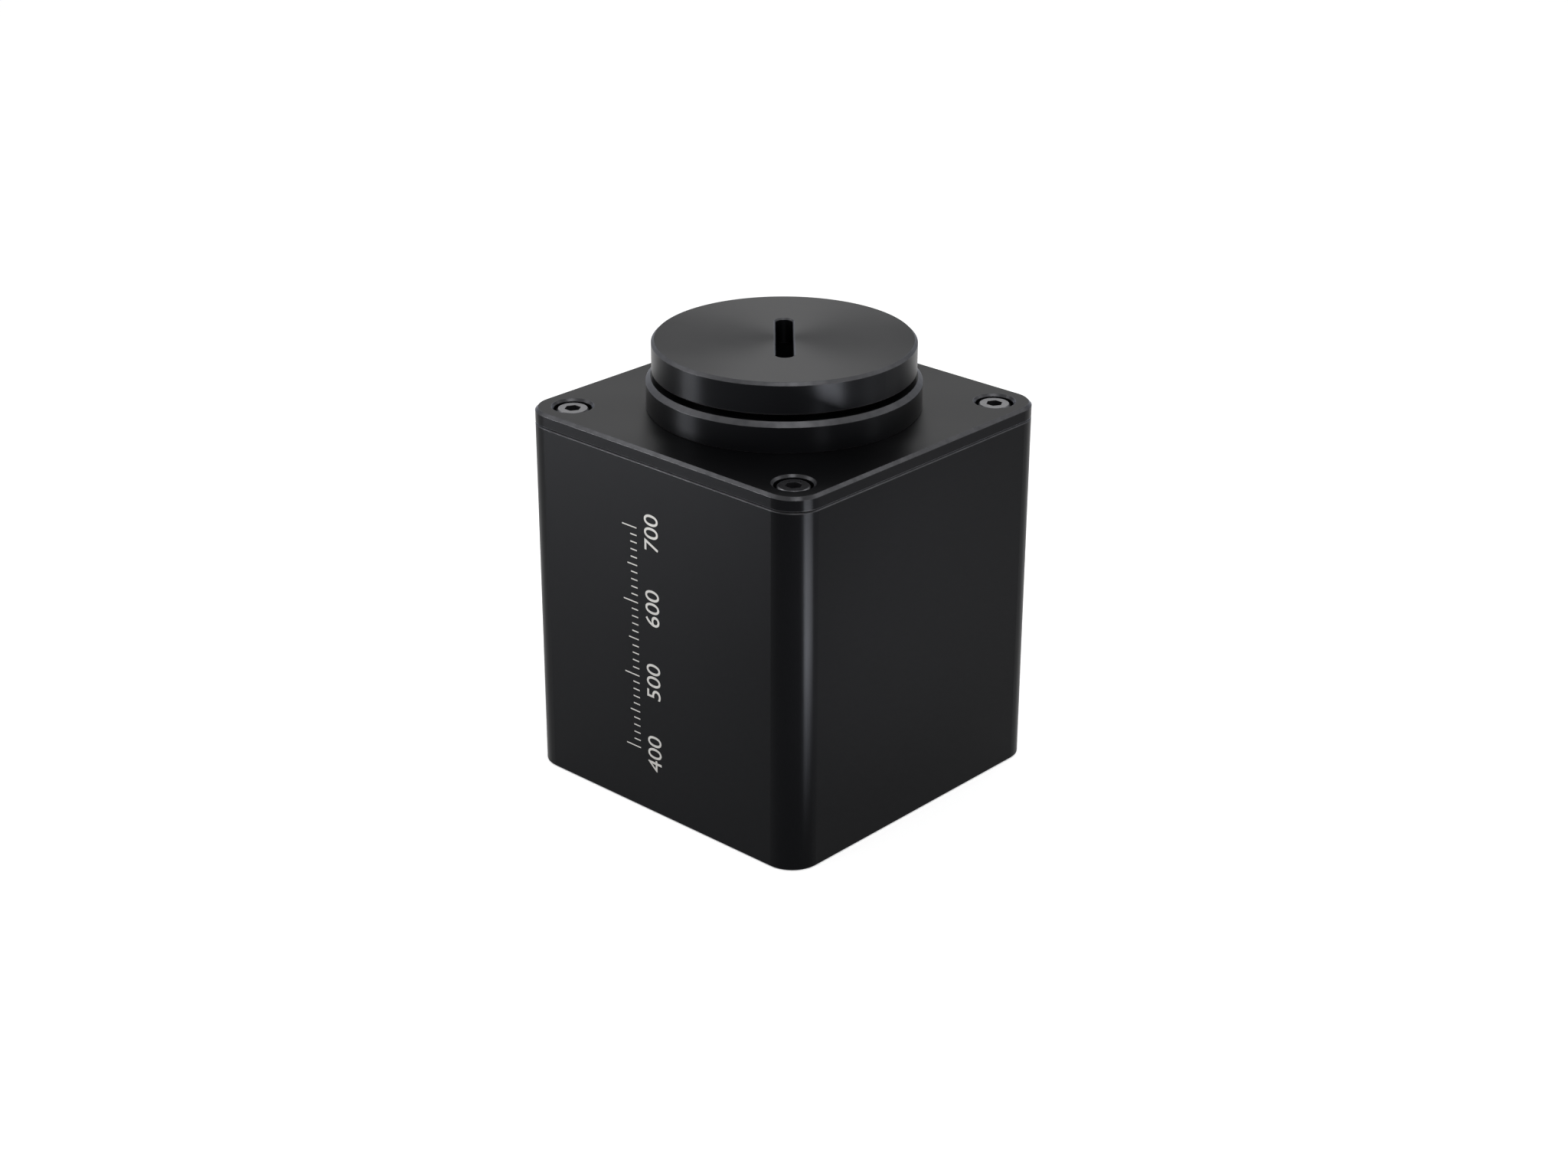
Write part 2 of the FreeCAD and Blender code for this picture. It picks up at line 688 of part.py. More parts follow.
def optical_bench():
    """Tray with a mounting flange under the lid, open at the front for its cover."""
    reach = bench_width / 2
    front = bench_front
    shape = box(-reach, reach, front, bench_back, z_bench, z_plug)
    flange_front = front - bench_cover_thickness
    flange = box(-bench_flange_reach, bench_flange_reach, flange_front, bench_back, z_roof, z_plug)
    shape = shape.fuse(flange)
    inner = cavity_half_width
    shape = shape.cut(box(-inner, inner, front, bench_cavity_half, z_bench_floor, z_roof))
    for x, z in bench_post_points():
        post = Part.makeCylinder(bench_post_radius, bench_cavity_half - front, V(x, front, z), Y_AXIS)
        shape = shape.fuse(post.common(box(-reach, reach, front, bench_back, z_bench, z_plug)))
    tap_depth = cover_screw_length - bench_cover_thickness + slip_fit
    for x, z in bench_post_points():
        shape = shape.cut(Part.makeCylinder(m2_radius + thread_fit, tap_depth, V(x, front, z), Y_AXIS))
    groove = baffle_thickness / 2 + slip_fit
    groove_floor = z_bench_floor - baffle_groove
    depth = bench_cavity_half
    shape = shape.cut(box(-groove, groove, -depth, depth, groove_floor, z_bench_floor))
    seat = z_plug - slit_disc_thickness - slit_ring_thickness - slip_fit
    shape = shape.cut(cylinder(slit_disc_radius + slip_fit, seat, z_plug))
    shape = shape.cut(cylinder(entrance_radius, z_roof - overshoot, seat))
    for x, y in corner_points(bench_screw_x, bench_screw_y):
        shape = shape.cut(cylinder(m25_radius + slip_fit, z_roof, z_plug, x, y))
    half_z = sensor_length / 2 + sensor_gap
    half_y = sensor_depth / 2 + sensor_gap
    z = z_sensor()
    shape = shape.cut(box(
        inner - overshoot, reach + overshoot, -half_y, half_y, z - half_z, z + half_z
    ))
    for z in sensor_screw_heights():
        hole = Part.makeCylinder(m2_radius + thread_fit, bench_wall, V(inner, 0, z), X_AXIS)
        shape = shape.cut(hole)
    for optic in optics():
        hole = Part.makeCylinder(
            m2_radius + slip_fit, bench_back_wall, V(0, bench_cavity_half, 0), Y_AXIS
        )
        x, z = optic["mount_centre"]
        shape = shape.cut(moved(hole, x, 0, z))
    return only_solid(shape.removeSplitter())


def light_baffle():
    """Upright plate between the two mirrors, in a groove in the bench's floor."""
    reach = baffle_thickness / 2
    depth = bench_cavity_half - slip_fit
    return box(-reach, reach, -depth, depth, z_bench_floor - baffle_groove, z_bench_floor + baffle_height)


def bench_post_points():
    """Centres of the cover's screw posts, in X and Z, in the corners of the cavity."""
    x = cavity_half_width
    return [(sx * x, z) for sx in (-1, 1) for z in (z_bench_floor, z_roof - bench_post_radius)]


def z_sensor():
    """Height of the sensor's middle, with its board just under the bench screws' heads."""
    return z_roof - m25_head_height - sensor_board_drop - sensor_board_end()


def sensor_screw_heights():
    reach = sensor_length / 2 + sensor_board_margin - sensor_screw_margin
    return [z_sensor() - reach, z_sensor() + reach]


def unit(x, z):
    size = math.hypot(x, z)
    return x / size, z / size


def facing(at, first, second):
    """Direction halfway between those from one point to two others, as (x, z)."""
    a = unit(first[0] - at[0], first[1] - at[1])
    b = unit(second[0] - at[0], second[1] - at[1])
    return unit(a[0] + b[0], a[1] + b[1])


def optics():
    """The three elements of the light path, each with its place, size and facing direction."""
    slit = (0.0, z_roof)
    collimator = (mirror_from_centre, z_bench_floor + mirror_above_floor)
    focuser = (-mirror_from_centre, z_bench_floor + mirror_above_floor)
    grating = (-grating_from_centre, z_roof - grating_below_roof)
    sensor = (cavity_half_width, z_sensor())
    rows = [
        ("collimator", collimator, facing(collimator, slit, grating), optic_width,
         mirror_thickness, mount_thickness, True),
        ("grating", grating, facing(grating, collimator, focuser), grating_width,
         grating_thickness, grating_mount_thickness, False),
        ("focuser", focuser, facing(focuser, grating, sensor), optic_width,
         mirror_thickness, mount_thickness, True),
    ]
    found = []
    for name, place, normal, width, thickness, backing, curved in rows:
        behind = thickness + backing / 2
        found.append({
            "name": name, "place": place, "normal": normal, "width": width,
            "thickness": thickness, "backing": backing, "curved": curved,
            "mount_centre": (place[0] - normal[0] * behind, place[1] - normal[1] * behind),
        })
    return found


def aimed(shape, optic):
    """Turns a shape built facing +Z at the origin to an optic's place and direction."""
    angle = math.degrees(math.atan2(optic["normal"][0], optic["normal"][1]))
    x, z = optic["place"]
    return moved(turned_about(shape, Y_AXIS, angle), x, 0, z)


def optic_element(optic):
    """A square glass block, with its front hollowed to a shallow sphere if it is a mirror."""
    reach = optic["width"] / 2
    depth = optic_depth / 2
    block = box(-reach, reach, -depth, depth, -optic["thickness"], 0)
    if optic["curved"]:
        rise = mirror_curve_radius - math.sqrt(mirror_curve_radius**2 - reach**2 - depth**2)
        block = block.cut(Part.makeSphere(mirror_curve_radius, V(0, 0, mirror_curve_radius - rise)))
    return only_solid(aimed(block, optic))


def optic_mount(optic):
    """Block behind an element, standing on the bench's rear wall with a tapped hole for its screw."""
    reach = optic["width"] / 2
    front = -optic["thickness"]
    back = front - optic["backing"]
    block = box(-reach, reach, -optic_depth / 2, bench_cavity_half, back, front)
    middle = (front + back) / 2
    depth = mount_screw_length - bench_back_wall + slip_fit
    hole = Part.makeCylinder(
        m2_radius + thread_fit, depth, V(0, bench_cavity_half - depth, middle), Y_AXIS
    )
    return only_solid(aimed(block.cut(hole), optic))


def mount_screws():
    """Cap screws through the bench's rear wall into the optics' mounts."""
    screw = turned_about(small_screw(mount_screw_length), X_AXIS, -90)
    return [
        moved(screw, o["mount_centre"][0], bench_back, o["mount_centre"][1]) for o in optics()
    ]


def bench_screws():
    screw = turned_about(small_screw(bench_screw_length, metric_25=True), X_AXIS, 180)
    return [moved(screw, x, y, z_roof) for x, y in corner_points(bench_screw_x, bench_screw_y)]


def bench_cover():
    """Plate over the bench's open front."""
    reach = bench_width / 2
    front = bench_front - bench_cover_thickness
    shape = box(-reach, reach, front, bench_front, z_bench, z_roof)
    for x, z in bench_post_points():
        hole = Part.makeCylinder(m2_radius + slip_fit, bench_cover_thickness, V(x, front, z), Y_AXIS)
        shape = shape.cut(hole)
    return only_solid(shape)


def cover_screws():
    screw = turned_about(small_screw(cover_screw_length), X_AXIS, 90)
    front = bench_front - bench_cover_thickness
    return [moved(screw, x, front, z) for x, z in bench_post_points()]


def slit_plate():
    """Thin disc with the entrance slit, in its seat in the bench's top."""
    top = z_plug - slit_ring_thickness - slip_fit
    low = top - slit_disc_thickness
    disc = cylinder(slit_disc_radius, low, top)
    reach = slit_width / 2
    half_y = slit_opening / 2
    return only_solid(disc.cut(box(-reach, reach, -half_y, half_y, low, top)))


def slit_ring():
    """Ring that holds the slit plate down."""
    top = z_plug - slip_fit
    low = top - slit_ring_thickness
    bore = cylinder(entrance_radius + edge_break, low, top)
    return only_solid(cylinder(slit_disc_radius, low, top).cut(bore))


def sensor():
    """Line sensor's package in the bench's side wall, recessed for its window."""
    board_face = bench_width / 2
    face = board_face - sensor_thickness
    z = z_sensor()
    reach = sensor_length / 2
    body = box(face, board_face, -sensor_depth / 2, sensor_depth / 2, z - reach, z + reach)
    return only_solid(body.cut(window_block(face, sensor_recess_depth, soft_fit)))


def window_block(face, depth, grow):
    """The sensor window's block, from the package's face inwards."""
    half_y = sensor_window_depth / 2 + grow
    half_z = sensor_window_length / 2 + grow
    z = z_sensor()
    return box(face, face + depth, -half_y, half_y, z - half_z, z + half_z)


def sensor_window():
    face = bench_width / 2 - sensor_thickness
    return window_block(face, sensor_window_thickness, 0)


def sensor_board_end():
    """Distance from the sensor's middle to each end of its board."""
    return sensor_length / 2 + sensor_board_margin


def sensor_board():
    """Board behind the sensor, on the outside of the bench's wall, with a ribbon socket."""
    inner = bench_width / 2
    outer = inner + sensor_board_thickness
    reach = sensor_board_half_depth
    low = z_sensor() - sensor_board_end()
    high = z_sensor() + sensor_board_end()
    shape = box(inner, outer, -reach, reach, low, high)
    for z in sensor_screw_heights():
        hole = Part.makeCylinder(m2_radius + slip_fit, sensor_board_thickness, V(inner, 0, z), X_AXIS)
        shape = shape.cut(hole)
    return only_solid(shape)


def sensor_screws():
    screw = turned_about(small_screw(sensor_screw_length), Y_AXIS, 90)
    outer = bench_width / 2 + sensor_board_thickness
    return [moved(screw, outer, 0, z) for z in sensor_screw_heights()]


def ribbon_offset():
    """Distance from the sensor board's face to the middle of the ribbon."""
    return m2_head_height + ribbon_clearance


def ribbon_middle():
    """The ribbon's plane in X, just outside the sensor board."""
    return bench_width / 2 + sensor_board_thickness + ribbon_offset()


def ribbon_sockets():
    """Two sockets for the ribbon: one on the sensor board and one on the main board."""
    x = ribbon_middle()
    reach_x = ribbon_offset()
    reach_y = ribbon_width / 2 + ribbon_socket_wall
    upper = ribbon_top()
    slot_y = ribbon_width / 2 + soft_fit
    slot_x = ribbon_thickness / 2 + soft_fit
    sockets = []
    for low in (z_board_top, upper - ribbon_socket_height):
        high = low + ribbon_socket_height
        body = box(x - reach_x, x + reach_x, -reach_y, reach_y, low, high)
        slot_low = low + ribbon_socket_wall if low == z_board_top else low
        slot_high = high if low == z_board_top else high - ribbon_socket_wall
        slot = box(x - slot_x, x + slot_x, -slot_y, slot_y, slot_low, slot_high)
        sockets.append(only_solid(body.cut(slot)))
    return sockets


def ribbon_top():
    """Top of the ribbon socket on the sensor board, just above its lower screw's head."""
    lower_screw = sensor_screw_heights()[0]
    return lower_screw + m2_head_radius + 2 * slip_fit + ribbon_socket_height


def ribbon_cable():
    """Flat cable from the sensor board down to the main board, ending inside both sockets."""
    x = ribbon_middle()
    reach_x = ribbon_thickness / 2
    reach_y = ribbon_width / 2
    low = z_board_top + ribbon_socket_wall + soft_fit
    high = ribbon_top() - ribbon_socket_wall - soft_fit
    return box(x - reach_x, x + reach_x, -reach_y, reach_y, low, high)


def parts():
    """Every node's name with its solid, or its list of solids."""
    elements = {o["name"]: optic_element(o) for o in optics()}
    mounts = {o["name"]: optic_mount(o) for o in optics()}
    return {
        "housing": housing(),
        "lid": lid(),
        "lid_gasket": lid_gasket(),
        "lid_screws": lid_screws(),
        "collar": collar(),
        "collar_screws": collar_screws(),
        "diffuser": diffuser(),
        "diffuser_ring": diffuser_ring(),
        "ring_screws": ring_screws(),
        "aperture_cap": aperture_cap(),
        "cap_seal_ring": cap_seal_ring(),
        "base_plate": base_plate(),
        "base_screws": base_screws(),
        "tripod_bush": tripod_bush(),
        "main_board": main_board(),
        "board_chips": board_chips(),
        "board_standoffs": board_standoffs(),
        "board_screws": board_screws(),
        "usb_shell": usb_shell_part(),
        "usb_tongue": usb_tongue(),
        "optical_bench": optical_bench(),
        "bench_screws": bench_screws(),
        "bench_cover": bench_cover(),
        "cover_screws": cover_screws(),
        "light_baffle": light_baffle(),
        "slit_plate": slit_plate(),
        "slit_ring": slit_ring(),
        "collimating_mirror": elements["collimator"],
        "collimator_mount": mounts["collimator"],
        "grating": elements["grating"],
        "grating_mount": mounts["grating"],
        "focusing_mirror": elements["focuser"],
        "focuser_mount": mounts["focuser"],
        "mount_screws": mount_screws(),
        "line_sensor": sensor(),
        "sensor_window": sensor_window(),
        "sensor_board": sensor_board(),
        "sensor_screws": sensor_screws(),
        "ribbon_sockets": ribbon_sockets(),
        "ribbon_cable": ribbon_cable(),
    }


os.makedirs("parts", exist_ok=True)
for name, shape in parts().items():
    solids = shape if isinstance(shape, list) else [shape]
    exported = Part.makeCompound(solids) if len(solids) > 1 else solids[0]
    assert all(s.isValid() and s.Volume > 0 for s in solids), name
    exported.exportStep(f"parts/{name}.step")
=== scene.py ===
"""The lighting spectrometer's looks: finishes, the scale on its side, its light and its camera."""

import math

import bmesh
import bpy
from mathutils import Matrix, Vector


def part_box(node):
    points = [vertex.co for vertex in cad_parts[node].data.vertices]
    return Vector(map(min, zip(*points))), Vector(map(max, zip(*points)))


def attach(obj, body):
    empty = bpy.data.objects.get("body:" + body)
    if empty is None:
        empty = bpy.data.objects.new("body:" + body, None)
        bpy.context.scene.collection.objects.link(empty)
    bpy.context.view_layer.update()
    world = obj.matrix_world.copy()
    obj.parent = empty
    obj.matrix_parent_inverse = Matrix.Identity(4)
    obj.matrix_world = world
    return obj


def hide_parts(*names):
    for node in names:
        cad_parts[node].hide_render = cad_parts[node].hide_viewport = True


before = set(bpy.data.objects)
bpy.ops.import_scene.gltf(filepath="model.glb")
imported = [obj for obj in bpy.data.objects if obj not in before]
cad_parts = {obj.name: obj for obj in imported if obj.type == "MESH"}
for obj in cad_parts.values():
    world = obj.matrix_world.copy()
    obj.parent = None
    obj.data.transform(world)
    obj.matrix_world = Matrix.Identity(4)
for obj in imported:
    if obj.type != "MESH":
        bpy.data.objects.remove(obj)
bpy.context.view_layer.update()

mm = 0.001
white = (1.0, 1.0, 1.0, 1.0)
upwards = (0.0, 0.0, 1.0)

# Camera, from a fit of the box's edges and the cap's ellipses in the photograph
camera_place = (0.2954, -0.3218, 0.2300)
camera_azimuth = 42.54
camera_pitch = 24.33
camera_roll = 0.2
camera_lens = 62.75
camera_sensor = 36.0
camera_nearest = 0.01
camera_farthest = 20.0

# Scale on the front face: a row of ticks with plain numbers, reading upwards
scale_first = 400
scale_last = 700
scale_step = 10
middle_tick_every = 50
long_tick_every = 100
scale_start_z = 11.5 * mm
scale_end_z = 52.5 * mm
scale_base_x = -4.2 * mm
short_tick = 1.5 * mm
middle_tick = 2.3 * mm
long_tick = 3.4 * mm
tick_width = 0.22 * mm
number_size = 4.6 * mm
number_gap = 1.3 * mm
number_curve_steps = 6
ink_thickness = 0.01 * mm

# Contacts on the socket's tongue, one row on each of its faces
tongue_thickness = 0.7 * mm
contact_count = 12
contact_pitch = 0.5 * mm
contact_width = 0.28 * mm
contact_length = 2.4 * mm
long_contact_length = 2.9 * mm
long_contacts = (0, 3, 8, 11)
contact_start = 3.4 * mm  # from the contacts' inner ends to the tongue's tip
contact_thickness = 0.02 * mm

# Bush for a tripod screw, with the thread that the plain bore stands for
bush_radius = 5.0 * mm
bush_flange_radius = 6.5 * mm
bush_flange_start = 4.0 * mm
bush_flange_end = 5.2 * mm
bush_length = 7.0 * mm
thread_pitch = 1.27 * mm
thread_minor_radius = 2.55 * mm
thread_major_radius = 3.175 * mm
thread_flat = 0.125  # share of the slope that is cut flat at the crests and the roots
thread_rows = 12  # rows of points in one pitch
thread_columns = 64
mouth_radius = 3.4 * mm

# Mottling that all finishes share: most values of a noise texture lie between these two
noise_low = 0.3
noise_high = 0.7

# Black anodised metal
case_black = (0.0014, 0.0014, 0.0016)
sheen_tint = (0.85, 0.89, 1.0, 1.0)
patch_scale = 45.0
patch_darkest = 0.85
patch_lightest = 1.2
patch_roughness = 0.02  # more or less than the finish's own
grain_scale = 7000.0
grain_stretch = 0.85
grain_bump = 0.35
grain_depth = 0.003 * mm
speck_low = 0.35  # noise values between which a speck grows
speck_high = 0.75
speck_strength = 0.5
speck_lightness = 1.8
soft_edge = 0.12 * mm

# Wear on its edges and chamfers, seen as a metal under thin oxide
worn_edge = 0.15 * mm
edge_starts = 0.995  # cosine between a face's normal and its rounded one
edge_full = 0.9
edge_bright = (0.08, 0.08, 0.084, 1.0)
edge_polish = 0.08  # how much less rough the wear is
chamfer_share = 0.5  # how much of the wear shows on the chamfers
wear_scale = 600.0
wear_high = 0.6  # noise value from which the wear is full
wear_least = 0.75  # share of it that is left at noise_low

# What a face counts as, by the upright share of its normal
chamfer_least = 0.3
chamfer_most = 0.95
level_least = 0.7

# All other finishes
fine_to_broad = 12.0  # ratio of the two mottlings' scales
broad_darkest = 0.9
broad_lightest = 1.08
fine_smoothest = 0.88
fine_roughest = 1.12
fine_bump = 0.3
fine_edge = 0.05 * mm
print_grain = 4000.0  # of the ink and the contacts, which are small
ink_grain_depth = 0.002 * mm

# Studio
floor_reach = 6.0
floor_drop = 0.05 * mm
floor_albedo = 0.9
floor_roughness = 0.8
floor_glow = 0.46
ambient = 0.6
lamps = {
    # name: (degrees round from the camera, distance, height, aimed height, width, length,
    #        beam in degrees, watts)
    "overhead": (170, 0.15, 0.75, 0.04, 0.70, 0.55, 180, 0.12),
    "front_panel": (14, 0.18, 0.52, 0.07, 0.22, 0.14, 40, 0.045),
    "left_panel": (-104, 0.42, 0.45, 0.07, 0.22, 0.16, 40, 0.03),
    "right_panel": (106, 0.42, 0.44, 0.07, 0.22, 0.16, 40, 0.018),
    "back_panel": (178, 0.70, 0.48, 0.07, 0.60, 0.20, 60, 0.08),
    "left_strip": (-83, 0.45, 0.11, 0.25, 0.14, 0.22, 60, 0.42),
    "front_strip": (29, 0.35, 0.09, 0.20, 0.05, 0.18, 60, 0.02),
    "right_strip": (74, 0.40, 0.10, 0.22, 0.08, 0.20, 60, 0.018),
    "corner_foot": (38, 0.105, 0.008, 0.08, 0.045, 0.016, 70, 0.045),
}


class Nodes:
    """Short calls for building one tree of shader nodes."""

    def __init__(self, tree):
        self.tree = tree

    def add(self, kind, **settings):
        node = self.tree.nodes.new(kind)
        for key, value in settings.items():
            setattr(node, key, value)
        return node

    def link(self, output, target):
        self.tree.links.new(output, target)

    def feed(self, sockets, values):
        """Link each socket to another node's output, or set it to a plain value."""
        for socket, value in zip(sockets, values):
            if isinstance(value, bpy.types.NodeSocket):
                self.link(value, socket)
            else:
                socket.default_value = value

    def coordinate(self, name):
        return self.add("ShaderNodeTexCoord").outputs[name]

    def noise(self, scale, detail):
        node = self.add("ShaderNodeTexNoise")
        names = ("Vector", "Scale", "Detail")
        values = (self.coordinate("Object"), scale, detail)
        self.feed([node.inputs[name] for name in names], values)
        return node.outputs["Fac"]

    def ramp(self, value, low, high, out_low, out_high):
        """A value carried from one range to another and held at its ends."""
        node = self.add("ShaderNodeMapRange")
        names = ("Value", "From Min", "From Max", "To Min", "To Max")
        values = (value, low, high, out_low, out_high)
        self.feed([node.inputs[name] for name in names], values)
        return node.outputs["Result"]

    def spread(self, noise, out_low=0.0, out_high=1.0):
        """A noise texture's usual values, spread over a range."""
        return self.ramp(noise, noise_low, noise_high, out_low, out_high)

    def math(self, operation, *values):
        node = self.add("ShaderNodeMath", operation=operation)
        self.feed(node.inputs, values)
        return node.outputs["Value"]

    def vector(self, operation, first, second, result="Vector"):
        node = self.add("ShaderNodeVectorMath", operation=operation)
        self.feed(node.inputs, (first, second))
        return node.outputs[result]

    def mix(self, factor, first, second, data_type="RGBA"):
        node = self.add("ShaderNodeMix", data_type=data_type)
        self.feed([node.inputs[name] for name in ("Factor", "A", "B")], (factor, first, second))
        return node.outputs["Result"]

    def bevel(self, radius):
        node = self.add("ShaderNodeBevel", samples=6)
        node.inputs["Radius"].default_value = radius
        return node.outputs["Normal"]

    def bump(self, height, strength, distance, normal):
        node = self.add("ShaderNodeBump")
        names = ("Height", "Strength", "Distance", "Normal")
        self.feed([node.inputs[name] for name in names], (height, strength, distance, normal))
        return node.outputs["Normal"]

    def edge_mask(self, rounded):
        """1 where the rounded normal turns away from the face, 0 on flats."""
        face = self.add("ShaderNodeNewGeometry").outputs["Normal"]
        cosine = self.vector("DOT_PRODUCT", rounded, face, result="Value")
        return self.ramp(cosine, edge_starts, edge_full, 0.0, 1.0)

    def upright_share(self):
        """How far the normal points straight up or down, from 0 to 1."""
        split = self.add("ShaderNodeSeparateXYZ")
        self.link(self.coordinate("Normal"), split.inputs["Vector"])
        return self.math("ABSOLUTE", split.outputs["Z"])

    def chamfer_mask(self):
        """1 on faces that slope, 0 on level and upright ones."""
        share = self.upright_share()
        not_upright = self.math("GREATER_THAN", share, chamfer_least)
        not_level = self.math("LESS_THAN", share, chamfer_most)
        return self.math("MULTIPLY", not_upright, not_level)

    def blur_direction(self, turned_top):
        """Upright on the sides; on the top outwards from the middle, or round it if turned."""
        across = self.vector("MULTIPLY", self.coordinate("Object"), (1.0, 1.0, 0.0))
        if turned_top:
            across = self.vector("CROSS_PRODUCT", across, upwards)
        level = self.math("GREATER_THAN", self.upright_share(), level_least)
        return self.mix(level, upwards, across, data_type="VECTOR")

    def seen_ray(self):
        """1 for rays that the camera, a gloss or a clear material sends out, and otherwise 0."""
        rays = self.add("ShaderNodeLightPath").outputs
        seen = self.math("MAXIMUM", rays["Is Camera Ray"], rays["Is Glossy Ray"])
        return self.math("MAXIMUM", seen, rays["Is Transmission Ray"])


def new_material(name):
    """An empty material with one surface shader, its nodes and that shader."""
    material = bpy.data.materials.new(name)
    material.use_nodes = True
    material.node_tree.nodes.clear()
    n = Nodes(material.node_tree)
    output = n.add("ShaderNodeOutputMaterial")
    shader = n.add("ShaderNodeBsdfPrincipled")
    n.link(shader.outputs["BSDF"], output.inputs["Surface"])
    return material, n, shader


def shade(colour, factor):
    """A colour made darker or lighter, with the alpha that a node's socket needs."""
    return (*(min(1.0, part * factor) for part in colour), 1.0)


def anodised(name, roughness, ior, turned_top=False):
    """Black anodised aluminium whose fine grain blurs reflections up and down its sides."""
    material, n, shader = new_material(name)
    round_normal = n.bevel(soft_edge)
    slopes = n.math("MULTIPLY", n.chamfer_mask(), chamfer_share)
    edge = n.math("MAXIMUM", n.edge_mask(n.bevel(worn_edge)), slopes)
    uneven = n.ramp(n.noise(wear_scale, detail=4.0), noise_low, wear_high, wear_least, 1.0)
    wear = n.math("MULTIPLY", edge, uneven)
    patch = n.noise(patch_scale, detail=3.0)
    darker = shade(case_black, patch_darkest)
    lighter = shade(case_black, patch_lightest)
    patchy = n.mix(n.spread(patch), darker, lighter)
    grain = n.noise(grain_scale, detail=2.0)
    speck = n.ramp(grain, speck_low, speck_high, 0.0, speck_strength)
    speckled = n.mix(speck, patchy, shade(case_black, speck_lightness))
    rough = n.spread(patch, roughness - patch_roughness, roughness + patch_roughness)
    polish = n.math("MULTIPLY", wear, edge_polish)
    n.link(n.mix(wear, speckled, edge_bright), shader.inputs["Base Color"])
    n.link(wear, shader.inputs["Metallic"])
    n.link(n.math("SUBTRACT", rough, polish), shader.inputs["Roughness"])
    n.link(n.bump(grain, grain_bump, grain_depth, round_normal), shader.inputs["Normal"])
    n.link(n.blur_direction(turned_top), shader.inputs["Tangent"])
    shader.inputs["Anisotropic"].default_value = grain_stretch
    shader.inputs["Specular Tint"].default_value = sheen_tint
    shader.inputs["IOR"].default_value = ior
    return material


def plain(name, base, roughness, metallic=0.0, grain=900.0, depth=0.01 * mm):
    """A surface with fine mottling in its colour and roughness and slightly soft edges."""
    material, n, shader = new_material(name)
    fine = n.noise(grain, detail=3.0)
    broad = n.noise(grain / fine_to_broad, detail=2.0)
    darker = shade(base, broad_darkest)
    lighter = shade(base, broad_lightest)
    rough = n.spread(fine, roughness * fine_smoothest, roughness * fine_roughest)
    n.link(n.mix(n.spread(broad), darker, lighter), shader.inputs["Base Color"])
    n.link(rough, shader.inputs["Roughness"])
    n.link(n.bump(fine, fine_bump, depth, n.bevel(fine_edge)), shader.inputs["Normal"])
    shader.inputs["Metallic"].default_value = metallic
    return material


def paint(material, *nodes):
    """Give CAD nodes one finish in place of those that they came with."""
    for name in nodes:
        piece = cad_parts[name]
        piece.data.materials.clear()
        piece.data.materials.append(material)
        for polygon in piece.data.polygons:
            polygon.material_index = 0


def paint_case():
    """The anodised outer pieces, the cap and collar a little glossier, and the seals."""
    paint(anodised("housing_black", 0.36, 1.14), "housing")
    paint(anodised("lid_black", 0.3, 1.14), "lid", "base_plate")
    paint(anodised("cap_black", 0.34, 1.19, turned_top=True), "collar", "aperture_cap")
    paint(plain("seal_rubber", (0.012, 0.012, 0.012), 0.5), "cap_seal_ring", "lid_gasket")


def paint_metal(steel):
    """The screws and the other metal pieces."""
    paint(steel, "collar_screws", "tripod_bush", "board_screws", "usb_shell", "bench_screws",
          "cover_screws", "mount_screws", "sensor_screws")
    paint(plain("oxide_steel", (0.065, 0.065, 0.07), 0.3, metallic=0.85), "lid_screws",
          "ring_screws", "base_screws", "slit_plate")
    paint(plain("bench_black", (0.012, 0.012, 0.013), 0.6), "optical_bench", "bench_cover",
          "diffuser_ring", "slit_ring", "collimator_mount", "grating_mount", "focuser_mount",
          "light_baffle")
    paint(plain("spacer_brass", (0.6, 0.42, 0.16), 0.3, metallic=1.0), "board_standoffs")


def paint_optics():
    """The diffuser, the mirrors and the sensor."""
    paint(plain("opal_white", (0.85, 0.85, 0.83), 0.55), "diffuser")
    paint(plain("optic_mirror", (0.9, 0.9, 0.92), 0.03, metallic=1.0), "collimating_mirror",
          "grating", "focusing_mirror")
    paint(plain("sensor_grey", (0.1, 0.1, 0.1), 0.35), "line_sensor")
    paint(plain("window_glass", (0.5, 0.55, 0.56), 0.05), "sensor_window")


def paint_boards():
    """The circuit boards and what is on and between them."""
    paint(plain("board_green", (0.02, 0.12, 0.05), 0.4), "main_board", "sensor_board")
    paint(plain("chip_black", (0.02, 0.02, 0.02), 0.55), "board_chips", "usb_tongue")
    paint(plain("ribbon_white", (0.75, 0.75, 0.72), 0.45), "ribbon_sockets", "ribbon_cable")


def add_block(builder, low, high):
    """One box in a mesh under construction, from its lowest to its highest corner."""
    corners = [builder.verts.new((x, y, z)) for x in (low[0], high[0])
               for y in (low[1], high[1]) for z in (low[2], high[2])]
    sides = ((0, 1, 3, 2), (4, 6, 7, 5), (0, 4, 5, 1), (2, 3, 7, 6), (0, 2, 6, 4), (1, 5, 7, 3))
    for side in sides:
        builder.faces.new([corners[n] for n in side])


def finish_piece(name, builder, material):
    """Turn a mesh under construction into a piece that rides on the instrument."""
    bmesh.ops.recalc_face_normals(builder, faces=builder.faces)
    mesh = bpy.data.meshes.new(name)
    builder.to_mesh(mesh)
    builder.free()
    mesh.materials.append(material)
    piece = bpy.data.objects.new(name, mesh)
    bpy.context.scene.collection.objects.link(piece)
    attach(piece, "instrument")
    return piece


